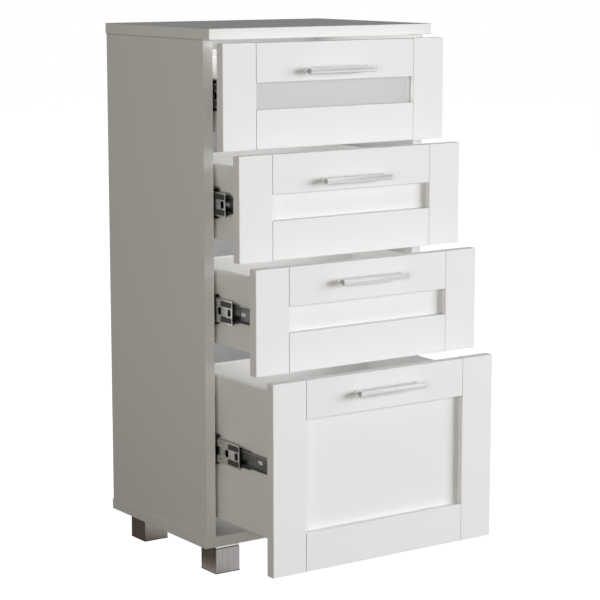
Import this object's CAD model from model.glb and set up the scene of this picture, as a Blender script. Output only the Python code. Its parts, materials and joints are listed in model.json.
# %% [markdown]
# A narrow bathroom cabinet with four drawers, standing open at different depths. The real one is
# flat-pack furniture: white boards held by dowels and cam fittings, drawers on ball-bearing runners,
# five-piece fronts, and four square steel feet. The boards, fronts, runners and fittings are solids
# that were drawn at their real size, so this script only dresses them: it gives every surface its
# finish, adds the small plastic and rubber pieces, and sets up the studio and the camera.

# %% Load the cabinet
import json
import math

import bmesh
import bpy
from mathutils import Matrix, Vector


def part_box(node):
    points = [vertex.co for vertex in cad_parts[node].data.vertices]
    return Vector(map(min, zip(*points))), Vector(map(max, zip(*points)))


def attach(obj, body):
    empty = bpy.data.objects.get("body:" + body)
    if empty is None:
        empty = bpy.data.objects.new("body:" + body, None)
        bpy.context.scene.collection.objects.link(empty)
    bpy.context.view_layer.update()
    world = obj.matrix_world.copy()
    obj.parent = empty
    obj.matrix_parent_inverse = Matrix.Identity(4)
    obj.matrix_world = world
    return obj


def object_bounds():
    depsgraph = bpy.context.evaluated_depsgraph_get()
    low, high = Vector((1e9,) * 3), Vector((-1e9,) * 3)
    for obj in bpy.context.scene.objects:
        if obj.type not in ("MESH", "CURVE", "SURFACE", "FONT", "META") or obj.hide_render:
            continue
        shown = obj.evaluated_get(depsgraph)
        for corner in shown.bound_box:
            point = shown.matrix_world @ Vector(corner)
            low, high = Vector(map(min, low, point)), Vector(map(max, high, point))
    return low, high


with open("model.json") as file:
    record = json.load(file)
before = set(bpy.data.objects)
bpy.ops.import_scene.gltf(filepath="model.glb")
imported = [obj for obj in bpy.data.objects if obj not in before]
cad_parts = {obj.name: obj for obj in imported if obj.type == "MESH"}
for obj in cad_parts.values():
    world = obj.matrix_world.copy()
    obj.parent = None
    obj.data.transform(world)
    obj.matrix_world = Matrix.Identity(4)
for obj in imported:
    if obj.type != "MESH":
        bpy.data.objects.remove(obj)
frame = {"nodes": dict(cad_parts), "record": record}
cad_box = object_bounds()
nodes = frame["nodes"]
print(len(nodes), "pieces, cabinet", [round(v, 3) for v in cad_box[1] - cad_box[0]], "m")

# %% [markdown]
# Real sizes are easiest to read in millimetres, and Blender works in metres. So the lengths below are
# written in millimetres and multiplied once. The same goes for colours: a designer reads a colour as a
# hex value, and the renderer needs it in linear light, so one function turns one into the other.

# %% Units and colours
MM = 0.001


def linear(hex_colour):
    """A colour such as "F2F2F0" in linear light, with full alpha."""
    channels = [int(hex_colour[i:i + 2], 16) / 255 for i in (0, 2, 4)]
    return [c / 12.92 if c <= 0.04045 else ((c + 0.055) / 1.055) ** 2.4 for c in channels] + [1.0]


print("middle grey in linear light", [round(v, 3) for v in linear("808080")[:3]])

# %% [markdown]
# A picture like this is taken from far away with a long lens, so that the verticals stay upright and
# the drawers don't look stretched. The camera stands to the left of the cabinet and a little above it.
# Its place and angles were worked out from the straight edges of the boards. A long lens could be
# imitated by a crop of a wide one, but then the depth of the drawers would look wrong.

# %% Camera
PICTURE_W = 600
FOCAL_IN_PIXELS = 2058.3
CAMERA_AT = Vector((-1.7564, -2.5569, 0.9164))
CAMERA_TURN = math.radians(34.47)
CAMERA_DIP = math.radians(9.58)
FILM_W = 36

camera = bpy.data.objects.new("camera", bpy.data.cameras.new("camera"))
bpy.context.scene.collection.objects.link(camera)
bpy.context.scene.camera = camera
camera.data.sensor_width = FILM_W
camera.data.lens = FOCAL_IN_PIXELS / PICTURE_W * FILM_W
camera.location = CAMERA_AT
looks_along = Vector((math.sin(CAMERA_TURN) * math.cos(CAMERA_DIP),
                      math.cos(CAMERA_TURN) * math.cos(CAMERA_DIP),
                      -math.sin(CAMERA_DIP)))
camera.rotation_mode = "QUATERNION"
camera.rotation_quaternion = looks_along.to_track_quat("-Z", "Y")
print("lens", round(camera.data.lens, 1), "mm")

# %% [markdown]
# Every material here is a small graph of shader nodes. Writing such a graph takes the same two steps
# again and again: make a node with its settings, and plug something into its inputs. This helper does
# both, so that each material below reads as a list of what goes into what. A value that is a socket is
# linked, and any other value is set on the input itself.

# %% The node helper
def add(tree, kind, inputs=(), **settings):
    """Adds a node with its settings and fills its inputs, by name or number."""
    made = tree.nodes.new(kind)
    for name, value in settings.items():
        setattr(made, name, value)
    for name, value in dict(inputs).items():
        if isinstance(value, bpy.types.NodeSocket):
            tree.links.new(value, made.inputs[name])
        else:
            made.inputs[name].default_value = value
    return made


def new_material(name):
    """A new material, its node tree, and the shader that everything ends in."""
    material = bpy.data.materials.new(name)
    material.use_nodes = True
    tree = material.node_tree
    tree.nodes.clear()
    shader = add(tree, "ShaderNodeBsdfPrincipled")
    add(tree, "ShaderNodeOutputMaterial", {"Surface": shader.outputs[0]})
    return material, tree, shader


# %% [markdown]
# The studio is a white sweep, and its walls send a weak warm light into the shade and hardly any from
# above, so the top stays grey. A white background could be made with more light, but that would wash
# out the cabinet. So the world does two things: it shows plain white to the camera and in reflections,
# and it lights everything else with a dim gradient, from warm at the horizon to a cold green above.

# %% World
FILL_LEVEL = 0.33
FILL_ABOVE = 0.01
FILL_TINT = "FFFAF4"
ABOVE_TINT = "D6EDDF"
world = bpy.data.worlds.new("studio")
bpy.context.scene.world = world
world.use_nodes = True
tree = world.node_tree
tree.nodes.clear()


def in_view(tree, ray):
    """A factor that is 1 for what the camera sees, straight or in mirrors and glass, and else 0."""
    seen = add(tree, "ShaderNodeMath", {0: ray.outputs["Is Camera Ray"], 1: ray.outputs["Is Glossy Ray"]},
               operation="MAXIMUM")
    seen = add(tree, "ShaderNodeMath", {0: seen.outputs[0], 1: ray.outputs["Is Transmission Ray"]},
               operation="MAXIMUM")
    return seen.outputs[0]


seen = in_view(tree, add(tree, "ShaderNodeLightPath"))
toward = add(tree, "ShaderNodeSeparateXYZ", {0: add(tree, "ShaderNodeTexCoord").outputs["Generated"]})
level = add(tree, "ShaderNodeMapRange", {"Value": toward.outputs["Z"], "To Min": FILL_LEVEL,
                                         "To Max": FILL_ABOVE})
tint = add(tree, "ShaderNodeMix", {0: toward.outputs["Z"], 6: linear(FILL_TINT), 7: linear(ABOVE_TINT)},
           data_type="RGBA")
lights = add(tree, "ShaderNodeBackground", {"Color": tint.outputs[2], "Strength": level.outputs[0]})
shows = add(tree, "ShaderNodeBackground", {"Color": linear("FFFFFF"), "Strength": 1.0})
mixed = add(tree, "ShaderNodeMixShader", {0: seen, 1: lights.outputs[0], 2: shows.outputs[0]})
add(tree, "ShaderNodeOutputWorld", {"Surface": mixed.outputs[0]})
print("fill light", FILL_LEVEL, "level,", FILL_ABOVE, "from above")

# %% [markdown]
# One large soft box stands low on the right. It lights the fronts, only grazes the top, and misses the
# left side. Its width matters most: a wide source gives the handles shadows that fade out along their
# length, where a small one would cut them sharply. A second, weak lamp on the left opens up the shade.

# %% Lamps
def flat_lamp(name, place, toward, size, watts):
    """A rectangular lamp, width and height in size, that neither the camera nor a mirror sees."""
    lamp = bpy.data.lights.new(name, "AREA")
    lamp.shape = "RECTANGLE"
    lamp.size, lamp.size_y = size
    lamp.energy = watts
    holder = bpy.data.objects.new(name, lamp)
    bpy.context.scene.collection.objects.link(holder)
    holder.location = place
    holder.rotation_mode = "QUATERNION"
    holder.rotation_quaternion = Vector(toward).to_track_quat("-Z", "Y")
    holder.visible_camera = False
    holder.visible_glossy = False
    return holder


def soft_lamp(name, side, height, distance, size, watts, colour):
    """A soft box. side is in degrees from straight ahead to the right, and height from the floor up."""
    turn, rise = math.radians(side), math.radians(height)
    out = Vector((math.sin(turn) * math.cos(rise), -math.cos(turn) * math.cos(rise), math.sin(rise)))
    middle = (cad_box[0] + cad_box[1]) / 2
    holder = flat_lamp(name, middle + distance * out, -out, size, watts)
    holder.data.color = linear(colour)[:3]


soft_lamp("key_lamp", side=50, height=6.9, distance=5.5, size=(3.4, 2.0), watts=286, colour="F7FAFF")
soft_lamp("fill_lamp", side=-45, height=7.0, distance=3.1, size=(1.1, 1.1), watts=26, colour="FFF8EF")
print("lamps", bpy.data.lights.keys())

# %% [markdown]
# White drawers would still look black inside, because their own fronts keep the lamps out. A
# photographer lights such a drawer with small cards that bounce light into it. A card would show in
# the picture, so thin panels that the camera doesn't see do the work. Each drawer carries one in the
# narrow gap over its front, which shines straight down, and one stays in the cabinet under each drawer,
# near the back. A lamp's level is the brightness it would show itself, where 1 is plain white.

# %% Lamps over and under the drawers
DRAWERS = (1, 2, 3, 4)
# Over each drawer: how bright the lamp is, from where to where it spans, and how far behind the front
OVER_LEVEL = {1: 0.75, 2: 0.4, 3: 0.32, 4: 0.48}
OVER_SPAN = {1: (-184 * MM, 184 * MM), 2: (-166 * MM, 187 * MM), 3: (-166 * MM, 187 * MM),
             4: (-166 * MM, 140 * MM)}
OVER_BEHIND_FRONT = {1: 3 * MM, 2: 50 * MM, 3: 50 * MM, 4: 50 * MM}
UNDER_LEVEL = {1: 0.3, 2: 0.55, 3: 0.33, 4: 0.3}
UNDER_W, UNDER_D, UNDER_TO_BACK = 280 * MM, 200 * MM, 20 * MM
LAMP_GAP = 1.7 * MM


def panel_lamp(name, body, middle, size, level, toward=(0, 0, -1)):
    """A flat lamp of a given brightness that moves with a body."""
    watts = level * math.pi * size[0] * size[1]
    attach(flat_lamp(name, middle, toward, size, watts), body)


back_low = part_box("back_panel")[0]
for number in DRAWERS:
    front_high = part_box(f"front_frame_{number}")[1]
    box_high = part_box(f"box_sides_{number}")[1]
    bottom_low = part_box(f"box_bottom_{number}")[0]
    y_from, y_to = front_high.y + OVER_BEHIND_FRONT[number], box_high.y
    x_from, x_to = OVER_SPAN[number]
    panel_lamp(f"lamp_over_drawer_{number}", f"drawer_{number}",
               ((x_from + x_to) / 2, (y_from + y_to) / 2, front_high.z + LAMP_GAP),
               (x_to - x_from, y_to - y_from), OVER_LEVEL[number])
    panel_lamp(f"lamp_under_drawer_{number}", "root",
               (0, back_low.y - UNDER_TO_BACK - UNDER_D / 2, bottom_low.z - LAMP_GAP),
               (UNDER_W, UNDER_D), UNDER_LEVEL[number])
print("lamps over and under", len(DRAWERS), "drawers")

# %% [markdown]
# Four narrow views need light of their own. Over the top drawer the view reaches the back and its
# corner. Beside that drawer the gap between box and side is white down to the runner. At the right end
# of the glass strip the frame's inner edge is white, and hardly any shade lies on the glass. Under the
# deep drawer the cabinet's floor can just be made out. So each gets a lamp that fits into its gap.

# %% Lamps for the gaps
REAR_W, REAR_D, REAR_TO_BACK, REAR_LEVEL = 360 * MM, 120 * MM, 5 * MM, 0.6
SIDE_D, SIDE_LAMP_IN, OVER_RUNNER, SIDE_LEVEL = 50 * MM, 0.5 * MM, 2 * MM, 0.5
STILE_W, GLASS_IN_GROOVE = 57 * MM, 8 * MM
EDGE_LAMP_W, EDGE_LAMP_IN, EDGE_LAMP_BACK, EDGE_LEVEL = 4 * MM, 6 * MM, 1.5 * MM, 1.6
EDGE_TOWARD = (0.8, 0.6, 0)
BAY_D, BAY_LEVEL = 100 * MM, 0.12
FROM_SIDE_EDGE = 5 * MM

front_low, front_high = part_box("front_frame_1")
panel_lamp("lamp_behind_drawer_1", "root",
           (0, back_low.y - REAR_TO_BACK - REAR_D / 2, front_high.z + LAMP_GAP),
           (REAR_W, REAR_D), REAR_LEVEL)

side_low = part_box("side_panel_right")[0]
runner_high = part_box("runner_outer_1")[1]
z_from, z_to = runner_high.z + OVER_RUNNER, front_high.z
for side, where in ((-1, "left"), (1, "right")):
    panel_lamp(f"lamp_beside_drawer_1_{where}", "root",
               (side * (runner_high.x - SIDE_LAMP_IN), side_low.y + FROM_SIDE_EDGE + SIDE_D / 2,
                (z_from + z_to) / 2), (SIDE_D, z_to - z_from), SIDE_LEVEL, (-side, 0, 0))

glass_low, glass_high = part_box("glass_strip_1")
panel_lamp("lamp_beside_glass", "drawer_1",
           (front_high.x - STILE_W - EDGE_LAMP_IN, front_low.y + EDGE_LAMP_BACK,
            (glass_low.z + glass_high.z) / 2),
           (EDGE_LAMP_W, glass_high.z - glass_low.z - 2 * GLASS_IN_GROOVE), EDGE_LEVEL, EDGE_TOWARD)

bottom_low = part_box("box_bottom_4")[0]
panel_lamp("lamp_over_cabinet_floor", "root",
           (0, side_low.y + FROM_SIDE_EDGE + BAY_D / 2, bottom_low.z - LAMP_GAP),
           (UNDER_W, BAY_D), BAY_LEVEL)
print("all lamps", len(bpy.data.lights))

# %% [markdown]
# The cabinet stands on a sheet of matt paper, so wide that its edge is never in the picture. It lies a
# hair below the feet: two faces at the same height would flicker through each other.

# %% Floor
FLOOR_REACH = 12
FLOOR_DROP = 0.5 * MM
floor_mesh = bpy.data.meshes.new("floor")
corners = [(-FLOOR_REACH, -FLOOR_REACH, 0), (FLOOR_REACH, -FLOOR_REACH, 0),
           (FLOOR_REACH, FLOOR_REACH, 0), (-FLOOR_REACH, FLOOR_REACH, 0)]
floor_mesh.from_pydata(corners, [], [(0, 1, 2, 3)])
floor = bpy.data.objects.new("floor", floor_mesh)
bpy.context.scene.collection.objects.link(floor)
floor.location.z = -FLOOR_DROP
print("floor", 2 * FLOOR_REACH, "m square")

# %% [markdown]
# A brushed foot mirrors the paper around it. If that were the same white on all sides, its left side
# would be as white as its front. Reflections therefore see the paper darker and warmer to the left of
# the cabinet and behind it, as they would in a room. A dark card could stand there instead, but the
# drawers' handles would mirror it too.

# %% The paper as metal sees it
# The shade lies this way from the cabinet's middle, begins and is full at these distances that way, and
# ends between two distances from the middle
SHADE_TOWARD = (-0.95, 0.3, 0)
SHADE_FROM, SHADE_FULL = 0.11, 0.225
SHADE_ENDS_FROM, SHADE_ENDS_TO = 0.6, 1.2
SHADE_DEEP = 0.14


def paper_in_metal(tree, place, distance):
    """Light that only metal sees, darker and warmer in the shade."""
    that_way = add(tree, "ShaderNodeVectorMath", {0: place, 1: SHADE_TOWARD}, operation="DOT_PRODUCT")
    shade = add(tree, "ShaderNodeMapRange", {"Value": that_way.outputs["Value"], "From Min": SHADE_FROM,
                                             "From Max": SHADE_FULL, "To Min": 1.0, "To Max": SHADE_DEEP})
    beyond = add(tree, "ShaderNodeMapRange", {"Value": distance, "From Min": SHADE_ENDS_FROM,
                                              "From Max": SHADE_ENDS_TO})
    level = add(tree, "ShaderNodeMath", {0: shade.outputs[0], 1: beyond.outputs[0]}, operation="MAXIMUM")
    tint = add(tree, "ShaderNodeMix", {0: level.outputs[0], 6: linear("FFE6C9"), 7: linear("FFFEFD")},
               data_type="RGBA")
    return add(tree, "ShaderNodeEmission", {"Color": tint.outputs[2], "Strength": level.outputs[0]})


print("paper shade in metal", SHADE_DEEP, "of full light")

# %% [markdown]
# To the camera the paper is almost white, with a faint shadow where the feet stand. It also throws warm
# light back at the cabinet, and only a little of it close by, where the cabinet's own shade falls. One
# paper that did both by itself would look too dark or light the shade too much. So each kind of ray
# gets a brightness of its own: the camera's, those that metal mirrors, and all the rest.

# %% Studio paper
PAPER_WHITE = 0.9
CLOUDS_PER_METRE = 3.0
# How much light the paper throws back, near the cabinet and far from it
BOUNCE_NEAR, BOUNCE_FAR = 0.1, 0.16
NEAR_TO, FAR_FROM = 0.3, 1.6
material, tree, shader = new_material("studio_paper")
cloud = add(tree, "ShaderNodeTexNoise", {"Scale": CLOUDS_PER_METRE, "Detail": 2.0})
paper = add(tree, "ShaderNodeMix", {0: cloud.outputs["Fac"], 6: linear("F4F4F4"), 7: linear("EFEFEF")},
            data_type="RGBA")
tree.links.new(paper.outputs[2], shader.inputs["Base Color"])
shader.inputs["Roughness"].default_value = 1.0
shader.inputs["Specular IOR Level"].default_value = 0.0
place = add(tree, "ShaderNodeTexCoord").outputs["Object"]
distance = add(tree, "ShaderNodeVectorMath", {0: place}, operation="LENGTH").outputs["Value"]
bounce_level = add(tree, "ShaderNodeMapRange", {"Value": distance, "From Min": NEAR_TO,
                                                "From Max": FAR_FROM, "To Min": BOUNCE_NEAR,
                                                "To Max": BOUNCE_FAR})
bounce = add(tree, "ShaderNodeEmission", {"Color": linear("FFF4E6"), "Strength": bounce_level.outputs[0]})
glow = add(tree, "ShaderNodeEmission", {"Color": linear("FFFFFF"), "Strength": PAPER_WHITE})
lit = add(tree, "ShaderNodeAddShader", {0: shader.outputs[0], 1: glow.outputs[0]})
ray = add(tree, "ShaderNodeLightPath")
unmirrored = add(tree, "ShaderNodeMixShader", {0: in_view(tree, ray), 1: bounce.outputs[0],
                                               2: lit.outputs[0]})
in_metal = paper_in_metal(tree, place, distance)
floor_look = add(tree, "ShaderNodeMixShader", {0: ray.outputs["Is Glossy Ray"], 1: unmirrored.outputs[0],
                                               2: in_metal.outputs[0]})
tree.links.new(floor_look.outputs[0], tree.nodes["Material Output"].inputs["Surface"])
floor_mesh.materials.append(material)
print("paper", material.name, "nodes", len(tree.nodes))

# %% [markdown]
# Dust and shade gather in the joint under the top. They could be a dark line drawn at the right height,
# but a node that measures how closed in a spot is finds the joint by itself. It also finds every corner
# inside the cabinet, which should stay white. So the dust is kept to the outside: there a spot's place
# and its normal point the same way, sideways, and their product is well above zero.

# %% Dust in the upper joint
JOINT_DUST = "55534F"
JOINT_REACH = 5 * MM
JOINT_OPEN, JOINT_CLOSED = 0.9, 0.45
OUTSIDE_FROM = 0.1
UPPER_JOINT_FROM = 0.5


def dusty(tree, colour):
    """The colour, darkened where boards meet on the outside, in the cabinet's upper part."""
    corner = add(tree, "ShaderNodeAmbientOcclusion", {"Distance": JOINT_REACH}, samples=8)
    closed_in = add(tree, "ShaderNodeMapRange", {"Value": corner.outputs["AO"], "From Min": JOINT_OPEN,
                                                 "From Max": JOINT_CLOSED})
    surface = add(tree, "ShaderNodeNewGeometry")
    outward = add(tree, "ShaderNodeVectorMath", {0: surface.outputs["Position"],
                                                 1: surface.outputs["Normal"]}, operation="MULTIPLY")
    sideways = add(tree, "ShaderNodeSeparateXYZ", {0: outward.outputs[0]})
    outside = add(tree, "ShaderNodeMath", {0: sideways.outputs["X"], 1: OUTSIDE_FROM},
                  operation="GREATER_THAN")
    height = add(tree, "ShaderNodeSeparateXYZ", {0: surface.outputs["Position"]})
    upper = add(tree, "ShaderNodeMath", {0: height.outputs["Z"], 1: UPPER_JOINT_FROM},
                operation="GREATER_THAN")
    dust = add(tree, "ShaderNodeMath", {0: closed_in.outputs[0], 1: outside.outputs[0]}, operation="MULTIPLY")
    dust = add(tree, "ShaderNodeMath", {0: dust.outputs[0], 1: upper.outputs[0]}, operation="MULTIPLY")
    mixed = add(tree, "ShaderNodeMix", {0: dust.outputs[0], 6: colour, 7: linear(JOINT_DUST)},
                data_type="RGBA")
    return mixed.outputs[2]


print("dust reaches", round(JOINT_REACH / MM), "mm from a joint")

# %% [markdown]
# The cabinet's boards are melamine-faced chipboard: printed paper soaked in resin and pressed hot
# against a steel plate. The plate leaves a fine even grain, like very fine leather, which makes the
# white look soft and keeps reflections blurred. It could be one flat white, but then light would slide
# over it as over plastic film. So the colour wanders a little, and a fine bump breaks the highlight.

# %% Melamine board
MELAMINE_SPREAD = 0.05


def pressed_board(name, tone, warm_tone, roughness, specular):
    """White melamine with the grain of its press plate."""
    material, tree, shader = new_material(name)
    place = add(tree, "ShaderNodeTexCoord")
    # The press grain is about 0.3 mm across, drawn at 1.2 mm so that it shows at all
    grain = add(tree, "ShaderNodeTexNoise", {"Vector": place.outputs["Object"], "Scale": 1 / (1.2 * MM),
                                             "Detail": 3.0, "Roughness": 0.6})
    cloud = add(tree, "ShaderNodeTexNoise", {"Vector": place.outputs["Object"], "Scale": 1 / (160 * MM),
                                             "Detail": 2.0})
    colour = add(tree, "ShaderNodeMix", {0: cloud.outputs["Fac"], 6: linear(tone), 7: linear(warm_tone)},
                 data_type="RGBA")
    tree.links.new(dusty(tree, colour.outputs[2]), shader.inputs["Base Color"])
    rough = add(tree, "ShaderNodeMapRange", {"Value": grain.outputs["Fac"],
                                             "To Min": roughness - MELAMINE_SPREAD,
                                             "To Max": roughness + MELAMINE_SPREAD})
    tree.links.new(rough.outputs[0], shader.inputs["Roughness"])
    bump = add(tree, "ShaderNodeBump", {"Height": grain.outputs["Fac"], "Distance": 0.02 * MM,
                                        "Strength": 0.5})
    tree.links.new(bump.outputs[0], shader.inputs["Normal"])
    shader.inputs["Specular IOR Level"].default_value = specular
    return material


melamine = pressed_board("melamine_faced_chipboard", "E4E4E3", "E2E2E0", roughness=0.55, specular=0.25)
melamine_box = pressed_board("melamine_drawer_board", "F3F2F0", "F1F0EE", roughness=0.55, specular=0.25)
melamine_top = pressed_board("melamine_top_board", "EDEEEC", "EAECEA", roughness=0.7, specular=0.14)
print("boards", melamine.name, melamine_box.name, melamine_top.name)

# %% [markdown]
# The fronts are fibreboard wrapped in white foil. Fibreboard is smooth and the foil is pulled tight
# over it, so there is no grain to see, only a faint waviness in the gloss like on a painted door. A
# wide, shallow bump gives that. Each frame member is wrapped on its own, and in the thin open joints
# between them raw brown fibreboard lies in the dark. These joints draw the lines that make a front look
# framed, and white walls would brighten them with their own bounced light. So the colour turns brown
# wherever a spot is closed in on nearly all sides.

# %% Foil-wrapped fronts
RAW_FIBREBOARD = "2E251D"
OPEN_JOINT_REACH = 1.5 * MM
OUT_OF_JOINT, DEEP_IN_JOINT = 0.6, 0.35


def wrapped_front(name):
    """Satin white foil over fibreboard."""
    material, tree, shader = new_material(name)
    place = add(tree, "ShaderNodeTexCoord")
    wave = add(tree, "ShaderNodeTexNoise", {"Vector": place.outputs["Object"], "Scale": 1 / (9 * MM),
                                            "Detail": 2.0})
    fine = add(tree, "ShaderNodeTexNoise", {"Vector": place.outputs["Object"], "Scale": 1 / (1 * MM),
                                            "Detail": 2.0})
    colour = add(tree, "ShaderNodeMix", {0: wave.outputs["Fac"], 6: linear("F2F2F2"), 7: linear("F0F0F0")},
                 data_type="RGBA")
    inside = add(tree, "ShaderNodeAmbientOcclusion", {"Distance": OPEN_JOINT_REACH}, samples=8)
    in_joint = add(tree, "ShaderNodeMapRange", {"Value": inside.outputs["AO"], "From Min": OUT_OF_JOINT,
                                                "From Max": DEEP_IN_JOINT})
    jointed = add(tree, "ShaderNodeMix", {0: in_joint.outputs[0], 6: colour.outputs[2],
                                          7: linear(RAW_FIBREBOARD)}, data_type="RGBA")
    tree.links.new(jointed.outputs[2], shader.inputs["Base Color"])
    rough = add(tree, "ShaderNodeMapRange", {"Value": fine.outputs["Fac"], "To Min": 0.38, "To Max": 0.46})
    tree.links.new(rough.outputs[0], shader.inputs["Roughness"])
    bump = add(tree, "ShaderNodeBump", {"Height": wave.outputs["Fac"], "Distance": 0.05 * MM,
                                        "Strength": 0.3})
    tree.links.new(bump.outputs[0], shader.inputs["Normal"])
    shader.inputs["Specular IOR Level"].default_value = 0.2
    return material


foil = wrapped_front("foil_wrapped_fibreboard")
print("front", foil.name, "nodes", len(foil.node_tree.nodes))

# %% [markdown]
# The back is a thin sheet of hardboard. Its inner face is painted white and the other is left raw, as
# the fibres came out of the press: brown, with darker flecks. Two materials would need the faces sorted
# by hand. One is enough, because the way a face points tells which one it is.

# %% Hardboard back
LOOKS_FORWARD = -0.5


def painted_hardboard(name):
    """White paint on the face that looks forward, bare brown fibre elsewhere."""
    material, tree, shader = new_material(name)
    place = add(tree, "ShaderNodeTexCoord")
    # Fibre bundles are about 1 mm wide and 5 mm long
    squeezed = add(tree, "ShaderNodeMapping", {"Vector": place.outputs["Object"], "Scale": (0.2, 1, 1)})
    fibre = add(tree, "ShaderNodeTexNoise", {"Vector": squeezed.outputs[0], "Scale": 1 / (1 * MM),
                                             "Detail": 4.0})
    brown = add(tree, "ShaderNodeMix", {0: fibre.outputs["Fac"], 6: linear("8A6646"), 7: linear("B18A63")},
                data_type="RGBA")
    paint = add(tree, "ShaderNodeMix", {0: fibre.outputs["Fac"], 6: linear("EAEBEC"), 7: linear("E6E7E9")},
                data_type="RGBA")
    # The normal of a face that looks forward has a Y near -1
    facing = add(tree, "ShaderNodeSeparateXYZ", {0: add(tree, "ShaderNodeNewGeometry").outputs["Normal"]})
    front = add(tree, "ShaderNodeMath", {0: facing.outputs["Y"], 1: LOOKS_FORWARD}, operation="LESS_THAN")
    colour = add(tree, "ShaderNodeMix", {0: front.outputs[0], 6: brown.outputs[2], 7: paint.outputs[2]},
                 data_type="RGBA")
    tree.links.new(colour.outputs[2], shader.inputs["Base Color"])
    rough = add(tree, "ShaderNodeMapRange", {"Value": front.outputs[0], "To Min": 0.8, "To Max": 0.5})
    tree.links.new(rough.outputs[0], shader.inputs["Roughness"])
    bump = add(tree, "ShaderNodeBump", {"Height": fibre.outputs["Fac"], "Distance": 0.05 * MM,
                                        "Strength": 0.4})
    tree.links.new(bump.outputs[0], shader.inputs["Normal"])
    shader.inputs["Specular IOR Level"].default_value = 0.25
    return material


hardboard = painted_hardboard("painted_hardboard")
print("back", hardboard.name)

# %% [markdown]
# The strip in the top drawer is float glass etched with acid on one face. Etching leaves a skin of tiny
# pits, so light gets through but no shape does. It could be a clear glass with a rough surface, but the
# strip in daylight looks almost white, so the shader lets only part of the light through and scatters
# the rest. The iron in the glass gives it a breath of green.

# %% Etched glass
def etched_glass(name):
    """Frosted glass that scatters most of the light."""
    material, tree, shader = new_material(name)
    place = add(tree, "ShaderNodeTexCoord")
    # The etched pits are 0.1 mm across, drawn at 0.8 mm
    pits = add(tree, "ShaderNodeTexNoise", {"Vector": place.outputs["Object"], "Scale": 1 / (0.8 * MM),
                                            "Detail": 3.0})
    colour = add(tree, "ShaderNodeMix", {0: pits.outputs["Fac"], 6: linear("DEDFDF"), 7: linear("E5E6E6")},
                 data_type="RGBA")
    tree.links.new(colour.outputs[2], shader.inputs["Base Color"])
    rough = add(tree, "ShaderNodeMapRange", {"Value": pits.outputs["Fac"], "To Min": 0.55, "To Max": 0.7})
    tree.links.new(rough.outputs[0], shader.inputs["Roughness"])
    bump = add(tree, "ShaderNodeBump", {"Height": pits.outputs["Fac"], "Distance": 0.02 * MM,
                                        "Strength": 0.4})
    tree.links.new(bump.outputs[0], shader.inputs["Normal"])
    shader.inputs["Transmission Weight"].default_value = 0.45
    shader.inputs["IOR"].default_value = 1.52
    return material


glass = etched_glass("acid_etched_glass")
print("glass", glass.name)

# %% [markdown]
# All the metal here gets its look from how it was finished. Brushing drags fine scratches one way and
# stretches the highlight across them, as on the feet. The nickel on the handles fills them and shines.
# Zinc is duller, with soft grey streaks or clouds. One function draws them all: noise that is stretched
# along the brushing or rolling, or not at all. The feet and the handles come first.

# %% Worked metal
def worked_metal(name, dark, light, roughness, spread, grain_mm, bump_mm, stretch=(1, 1, 1)):
    """Metal with a grain grain_mm across, stretched by (x, y, z). Its roughness varies by spread."""
    material, tree, shader = new_material(name)
    place = add(tree, "ShaderNodeTexCoord")
    drawn = add(tree, "ShaderNodeMapping", {"Vector": place.outputs["Object"],
                                            "Scale": [1 / s for s in stretch]})
    grain = add(tree, "ShaderNodeTexNoise", {"Vector": drawn.outputs[0], "Scale": 1 / (grain_mm * MM),
                                             "Detail": 4.0, "Roughness": 0.6})
    tone = add(tree, "ShaderNodeMapRange", {"Value": grain.outputs["Fac"], "From Min": 0.3, "From Max": 0.7})
    colour = add(tree, "ShaderNodeMix", {0: tone.outputs[0], 6: linear(dark), 7: linear(light)},
                 data_type="RGBA")
    tree.links.new(colour.outputs[2], shader.inputs["Base Color"])
    rough = add(tree, "ShaderNodeMapRange", {"Value": grain.outputs["Fac"], "To Min": roughness - spread,
                                             "To Max": roughness + spread})
    tree.links.new(rough.outputs[0], shader.inputs["Roughness"])
    bump = add(tree, "ShaderNodeBump", {"Height": grain.outputs["Fac"], "Distance": bump_mm * MM,
                                        "Strength": 0.5})
    tree.links.new(bump.outputs[0], shader.inputs["Normal"])
    shader.inputs["Metallic"].default_value = 1.0
    return material


# Brushing lines are 0.1 to 0.2 mm apart, drawn at 0.9 mm, and run up and down the feet
brushed = worked_metal("brushed_stainless_steel", "929090", "AAA8A8", roughness=0.26, spread=0.06,
                       grain_mm=0.9, bump_mm=0.01, stretch=(1, 1, 60))
# The bars are drawn through a die, which leaves lines along them, here drawn at 3 mm
plated = worked_metal("satin_nickel_plate", "B2B2B0", "F2F2F2", roughness=0.13, spread=0.03,
                      grain_mm=3.0, bump_mm=0.002, stretch=(80, 1, 1))
print("worked along one way", brushed.name, plated.name)

# %% [markdown]
# The fittings come from a supplier's shelf: runners of zinc-plated strip, whose middle members are the
# brightest, plates under the feet, steel balls in their cages, and die-cast discs and screws. Each has
# a plating of its own, so the same function gets other numbers. They could share one grey, but then an
# open runner would look like one lump.

# %% Fittings
# The streaks of rolled strip are drawn at 1.5 mm and run along the runners
dull_zinc = worked_metal("zinc_plated_strip_steel", "555653", "7D7E7A", roughness=0.38, spread=0.1,
                         grain_mm=1.5, bump_mm=0.01, stretch=(1, 8, 1))
bright_zinc = worked_metal("bright_zinc_strip_steel", "A9AAA6", "D5D5D1", roughness=0.3, spread=0.08,
                           grain_mm=1.5, bump_mm=0.01, stretch=(1, 8, 1))
plate = worked_metal("zinc_plated_plate", "DADAD8", "EEEEEC", roughness=0.35, spread=0.08,
                     grain_mm=2.0, bump_mm=0.01)
bearing = worked_metal("bearing_steel", "8C8C8A", "A8A8A6", roughness=0.25, spread=0.06,
                       grain_mm=1.0, bump_mm=0.005)
die_cast = worked_metal("nickel_plated_zinc", "A9A8A4", "C6C5C1", roughness=0.35, spread=0.1,
                        grain_mm=1.2, bump_mm=0.02)
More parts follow.
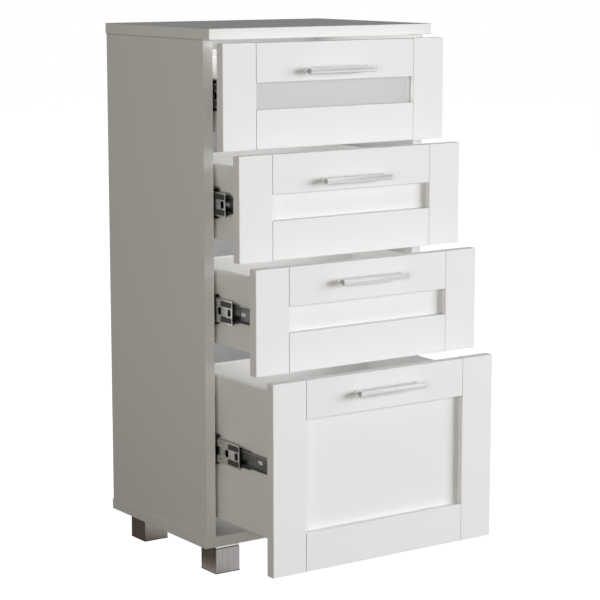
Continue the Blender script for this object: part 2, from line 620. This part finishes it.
print("fittings", dull_zinc.name, bright_zinc.name, plate.name, bearing.name, die_cast.name)

# %% [markdown]
# Each foot is welded to its plate, and the weld's heat leaves a dark brown line right under the plate.
# It could be a strip of its own, but a colour that changes with height is enough: below the line the
# steel keeps the colour that it already has.

# %% Weld under the foot plates
WELD_H = 1.6 * MM
WELD_FADE = 0.3
HEAT_TINT = "3A2F28"
plate_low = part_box("foot_plates")[0]
tree = brushed.node_tree
shader = tree.nodes["Principled BSDF"]
steel_colour = shader.inputs["Base Color"].links[0].from_socket
place = add(tree, "ShaderNodeTexCoord")
height = add(tree, "ShaderNodeSeparateXYZ", {0: place.outputs["Object"]})
seam = add(tree, "ShaderNodeMapRange", {"Value": height.outputs["Z"], "From Min": plate_low.z - WELD_H,
                                        "From Max": plate_low.z - (1 - WELD_FADE) * WELD_H})
welded = add(tree, "ShaderNodeMix", {0: seam.outputs[0], 6: steel_colour, 7: linear(HEAT_TINT)},
             data_type="RGBA")
tree.links.new(welded.outputs[2], shader.inputs["Base Color"])
print("weld line", round(WELD_H / MM, 1), "mm high")

# %% [markdown]
# Dowels are turned from beech: pale pink wood with short dark flecks along the grain. They sit inside
# the boards, and only show if the cabinet is taken apart. One noise that is squeezed along the grain is
# enough at their size, where a drawn wood texture would show nothing more.

# %% Beech
def turned_beech(name):
    """Beech with its flecks along the grain."""
    material, tree, shader = new_material(name)
    place = add(tree, "ShaderNodeTexCoord")
    # Flecks are 0.4 mm wide and 3 mm long
    drawn = add(tree, "ShaderNodeMapping", {"Vector": place.outputs["Object"], "Scale": (1, 1, 0.13)})
    fleck = add(tree, "ShaderNodeTexNoise", {"Vector": drawn.outputs[0], "Scale": 1 / (0.4 * MM),
                                             "Detail": 3.0})
    colour = add(tree, "ShaderNodeMix", {0: fleck.outputs["Fac"], 6: linear("B98D62"), 7: linear("D9B48A")},
                 data_type="RGBA")
    tree.links.new(colour.outputs[2], shader.inputs["Base Color"])
    shader.inputs["Roughness"].default_value = 0.7
    return material


beech = turned_beech("turned_beech")
print("dowels", beech.name)

# %% [markdown]
# The solids came with named material slots, one name for each finish. Giving a finish to a slot is then
# one line in a table, and every piece that has the slot gets it. The alternative, a list of pieces for
# each finish, would have to be kept in step by hand.

# %% Finishes onto the pieces
FINISH = {"cabinet_board": melamine, "top_board": melamine_top, "box_board": melamine_box,
          "back_board": hardboard, "front_wrap": foil, "satin_glass": glass, "handle_metal": plated,
          "foot_metal": brushed, "plate_metal": plate, "runner_steel": dull_zinc,
          "cage_steel": bearing, "fitting_metal": die_cast, "beech_dowel": beech}
slot_of = {part["node"]: part["material_slot"] for part in frame["record"]["subparts"]}
for name, piece in nodes.items():
    # All runner steel shares one slot, and the middle members are the brighter ones
    finish = bright_zinc if name.startswith("runner_middle") else FINISH[slot_of[name]]
    piece.data.materials.clear()
    piece.data.materials.append(finish)
print("finishes", len(set(slot_of.values())), "on", len(nodes), "pieces")

# %% [markdown]
# A runner needs some plastic to be quiet, and the feet stand in rubber. Both are moulded, so they take
# on the mottle of the mould: acetal is dark grey with a soft sheen, rubber nearly black and dull. One
# flat dark colour would look like a hole, so the mottle wanders between two tones and bumps a little.

# %% Moulded plastic and rubber
def moulded(name, dark, light, roughness):
    """Plastic or rubber with the slight mottle of its mould."""
    material, tree, shader = new_material(name)
    place = add(tree, "ShaderNodeTexCoord")
    mottle = add(tree, "ShaderNodeTexNoise", {"Vector": place.outputs["Object"], "Scale": 1 / (2 * MM),
                                              "Detail": 3.0})
    colour = add(tree, "ShaderNodeMix", {0: mottle.outputs["Fac"], 6: linear(dark), 7: linear(light)},
                 data_type="RGBA")
    tree.links.new(colour.outputs[2], shader.inputs["Base Color"])
    bump = add(tree, "ShaderNodeBump", {"Height": mottle.outputs["Fac"], "Distance": 0.02 * MM,
                                        "Strength": 0.4})
    tree.links.new(bump.outputs[0], shader.inputs["Normal"])
    shader.inputs["Roughness"].default_value = roughness
    shader.inputs["Specular IOR Level"].default_value = 0.4
    return material


acetal = moulded("moulded_acetal", "2B2A27", "38372F", roughness=0.45)
rubber = moulded("black_rubber", "1C1B1A", "262524", roughness=0.8)
print("moulded", acetal.name, rubber.name)

# %% [markdown]
# Rods and plates with softened edges are enough for the small moulded pieces, so one function makes
# such blocks, each from its two far corners. It makes every block again on the other side of the
# cabinet, because runners and feet come in pairs. A mirror modifier could do that too, but then the
# mesh wouldn't hold what it shows.

# %% Blocks on both sides
MOULD_EDGE = 0.25 * MM


def blocks(name, body, finish, corners, soften=MOULD_EDGE):
    """One piece made of blocks, each given by two far corners, on both sides of the cabinet."""
    mesh = bmesh.new()
    for low, high in corners:
        for side in (-1, 1):
            middle = Vector([(a + b) / 2 for a, b in zip(low, high)])
            size = [b - a for a, b in zip(low, high)]
            place = Matrix.Translation((side * middle.x, middle.y, middle.z)) @ Matrix.Diagonal((*size, 1))
            bmesh.ops.create_cube(mesh, size=1, matrix=place)
    bmesh.ops.bevel(mesh, geom=mesh.edges[:], offset=soften, segments=2, affect="EDGES",
                    clamp_overlap=True)
    data = bpy.data.meshes.new(name)
    mesh.to_mesh(data)
    mesh.free()
    data.materials.append(finish)
    piece = bpy.data.objects.new(name, data)
    bpy.context.scene.collection.objects.link(piece)
    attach(piece, body)


print("blocks have edges softened by", MOULD_EDGE / MM, "mm")

# %% [markdown]
# Each middle member carries a clip with two arms near its front end, which catches the drawer softly.
# Each inner ball cage has two slim guides that reach out in front of it, and each inner member has a
# lever that frees the drawer, an arm with a wider head. All of them are flat blocks, placed from the
# runner's own boxes, so that they stay on it if the runner changes.

# %% Plastic in the runners
# Depths are measured from a member's front end, and heights from the middle of the runner
CLIP_FROM, CLIP_TO = 2.5 * MM, 30 * MM
CLIP_LOW, CLIP_HIGH = 7.4 * MM, 15.2 * MM
CLIP_T, CLIP_BITE = 0.75 * MM, 0.05 * MM
GUIDE_L, GUIDE_UP, GUIDE_H = 62 * MM, 12.9 * MM, 1.5 * MM
GUIDE_INNER, GUIDE_OUTER = 4.0 * MM, 1.4 * MM
LEVER_FROM, LEVER_TO = 104 * MM, 165 * MM
LEVER_H, LEVER_INNER, LEVER_OUTER = 3.2 * MM, 8.3 * MM, 6.4 * MM
HEAD_L, HEAD_DOWN, HEAD_UP = 7 * MM, 5.5 * MM, 2.5 * MM
HEAD_INNER, HEAD_OUTER = 8.4 * MM, 4.4 * MM
HEAD_LAP = 1 * MM
for number in DRAWERS:
    outer_low, outer_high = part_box(f"runner_outer_{number}")
    member_low, member_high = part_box(f"runner_middle_{number}")
    cage_low, cage_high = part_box(f"ball_cage_inner_{number}")
    rail_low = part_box(f"runner_inner_{number}")[0]
    axis_z = (outer_low.z + outer_high.z) / 2
    web = member_high.x
    arms = [((web - CLIP_BITE, member_low.y + CLIP_FROM, axis_z + low),
             (web + CLIP_T, member_low.y + CLIP_TO, axis_z + high))
            for low, high in ((-CLIP_HIGH, -CLIP_LOW), (CLIP_LOW, CLIP_HIGH))]
    blocks(f"bumper_clip_{number}", f"runner_middle_{number}", acetal, arms)
    rods = [((cage_high.x - GUIDE_INNER, cage_low.y - GUIDE_L, axis_z + up - GUIDE_H / 2),
             (cage_high.x - GUIDE_OUTER, cage_low.y, axis_z + up + GUIDE_H / 2))
            for up in (-GUIDE_UP, GUIDE_UP)]
    blocks(f"cage_guide_{number}", f"cage_inner_{number}", acetal, rods)
    head_at = rail_low.y + LEVER_FROM
    arm_and_head = [((web - LEVER_INNER, head_at + HEAD_L - HEAD_LAP, axis_z - LEVER_H / 2),
                     (web - LEVER_OUTER, rail_low.y + LEVER_TO, axis_z + LEVER_H / 2)),
                    ((web - HEAD_INNER, head_at, axis_z - HEAD_DOWN),
                     (web - HEAD_OUTER, head_at + HEAD_L, axis_z + HEAD_UP))]
    blocks(f"release_lever_{number}", f"drawer_{number}", acetal, arm_and_head)
print("plastic on", len(DRAWERS), "pairs of runners, middle web at", round(web, 4), "m")

# %% [markdown]
# Each foot stands in a thin rubber rim, a little wider than the steel, so that the metal keeps dry on a
# wet floor. From the side the rim is only a dark line, and that line stops the foot from seeming to
# float. It is made of four bars, because a solid pad would have to cut into the foot.

# %% Rims under the feet
FOOT_W = 42 * MM
RIM_H, RIM_T, RIM_SOFTEN = 1.2 * MM, 0.15 * MM, 0.05 * MM
feet_low, feet_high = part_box("feet")
left, right = feet_high.x - FOOT_W, feet_high.x
bars = []
for front in (feet_low.y, feet_high.y - FOOT_W):
    back = front + FOOT_W
    bars.append(((left - RIM_T, front - RIM_T, 0), (right + RIM_T, front, RIM_H)))
    bars.append(((left - RIM_T, back, 0), (right + RIM_T, back + RIM_T, RIM_H)))
    bars.append(((left - RIM_T, front, 0), (left, back, RIM_H)))
    bars.append(((right, front, 0), (right + RIM_T, back, RIM_H)))
blocks("foot_rims", "root", rubber, bars, soften=RIM_SOFTEN)
print("rim bars", 2 * len(bars), "around four feet")

# %% [markdown]
# The colours above were chosen as they should look on the screen. The standard view shows them like
# that, where a film-like one would grey the whites and soften the contrast of the metal.

# %% View settings
bpy.context.scene.view_settings.view_transform = "Standard"
print("view", bpy.context.scene.view_settings.view_transform)
